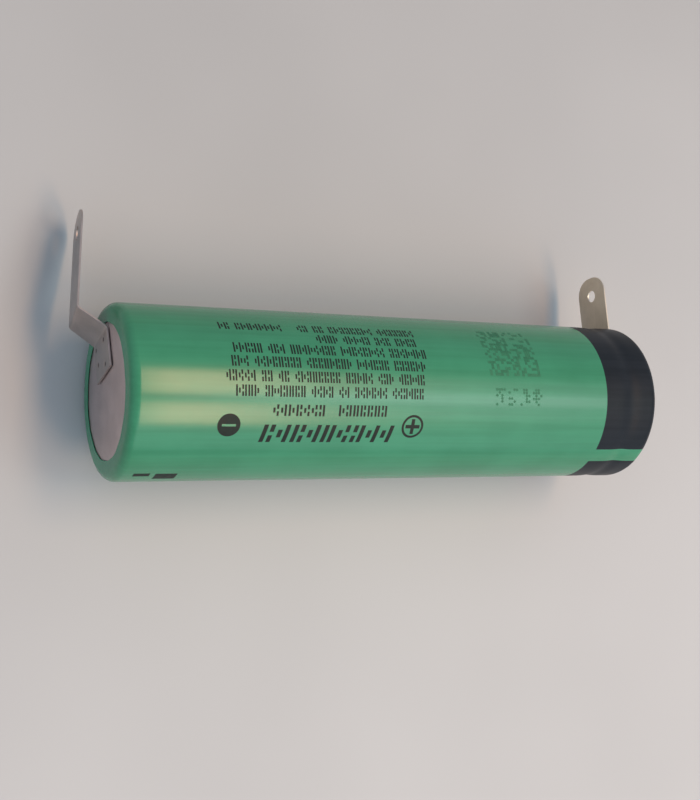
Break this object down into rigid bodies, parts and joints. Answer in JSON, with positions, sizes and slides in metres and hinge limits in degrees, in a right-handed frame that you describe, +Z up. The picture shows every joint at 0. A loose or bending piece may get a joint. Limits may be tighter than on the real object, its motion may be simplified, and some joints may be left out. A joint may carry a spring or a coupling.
{
  "type": "cylindrical battery cell",
  "caption": "Cylindrical lithium-ion cell in a shrink sleeve, with a nickel solder tag welded to each end and the wound roll and safety cap stack inside.",
  "frame": {"origin": "centre of the base of the whole object's box, as the cell lies on its side", "axes": "+X along the cell from its negative end to its positive end, +Y the way both solder tags point, +Z up from the surface that the cell lies on"},
  "size_m": [0.0684, 0.029, 0.0184],
  "materials": {
    "sleeve": "satin-gloss heat-shrink film",
    "can": "satin nickel plating on deep-drawn steel",
    "ring_paper": "matt insulating paper",
    "gasket_plastic": "moulded polypropylene",
    "cap_nickel": "nickel-plated pressed steel",
    "ptc_polymer": "carbon-filled polymer",
    "disc_aluminium": "pressed sheet",
    "cid_plastic": "moulded",
    "fibre_board": "punched fibre board",
    "cathode_coating": "coated aluminium foil",
    "anode_coating": "coated copper foil",
    "separator_film": "microporous film",
    "pin_steel": "rolled",
    "polyimide_tape": "amber film",
    "lead_aluminium": "rolled strip",
    "lead_nickel": "rolled strip",
    "tag_nickel": "satin rolled strip"
  },
  "bodies": {
    "cell": {"sleeve": "sleeve", "can": "can", "insulator_ring": "ring_paper", "gasket": "gasket_plastic", "top_cap": "cap_nickel", "ptc_ring": "ptc_polymer", "pressure_disc": "disc_aluminium", "cid_insulator": "cid_plastic", "cid_plate": "disc_aluminium", "top_insulator": "fibre_board", "bottom_insulator": "fibre_board", "cathode": "cathode_coating", "anode": "anode_coating", "separator_inner": "separator_film", "separator_outer": "separator_film", "centre_pin": "pin_steel", "roll_tape": "polyimide_tape", "positive_lead": "lead_aluminium", "positive_lead_tape": "polyimide_tape", "negative_lead": "lead_nickel", "negative_tag": "tag_nickel", "positive_tag": "tag_nickel"},
    "pressure_dome": {"pressure_dome": "disc_aluminium"}
  },
  "joints": [
    {"name": "pressure_dome_flip", "type": "slide", "parent": "cell", "child": "pressure_dome", "axis": [1, 0, 0], "range_m": [0, 0.0006]}
  ]
}
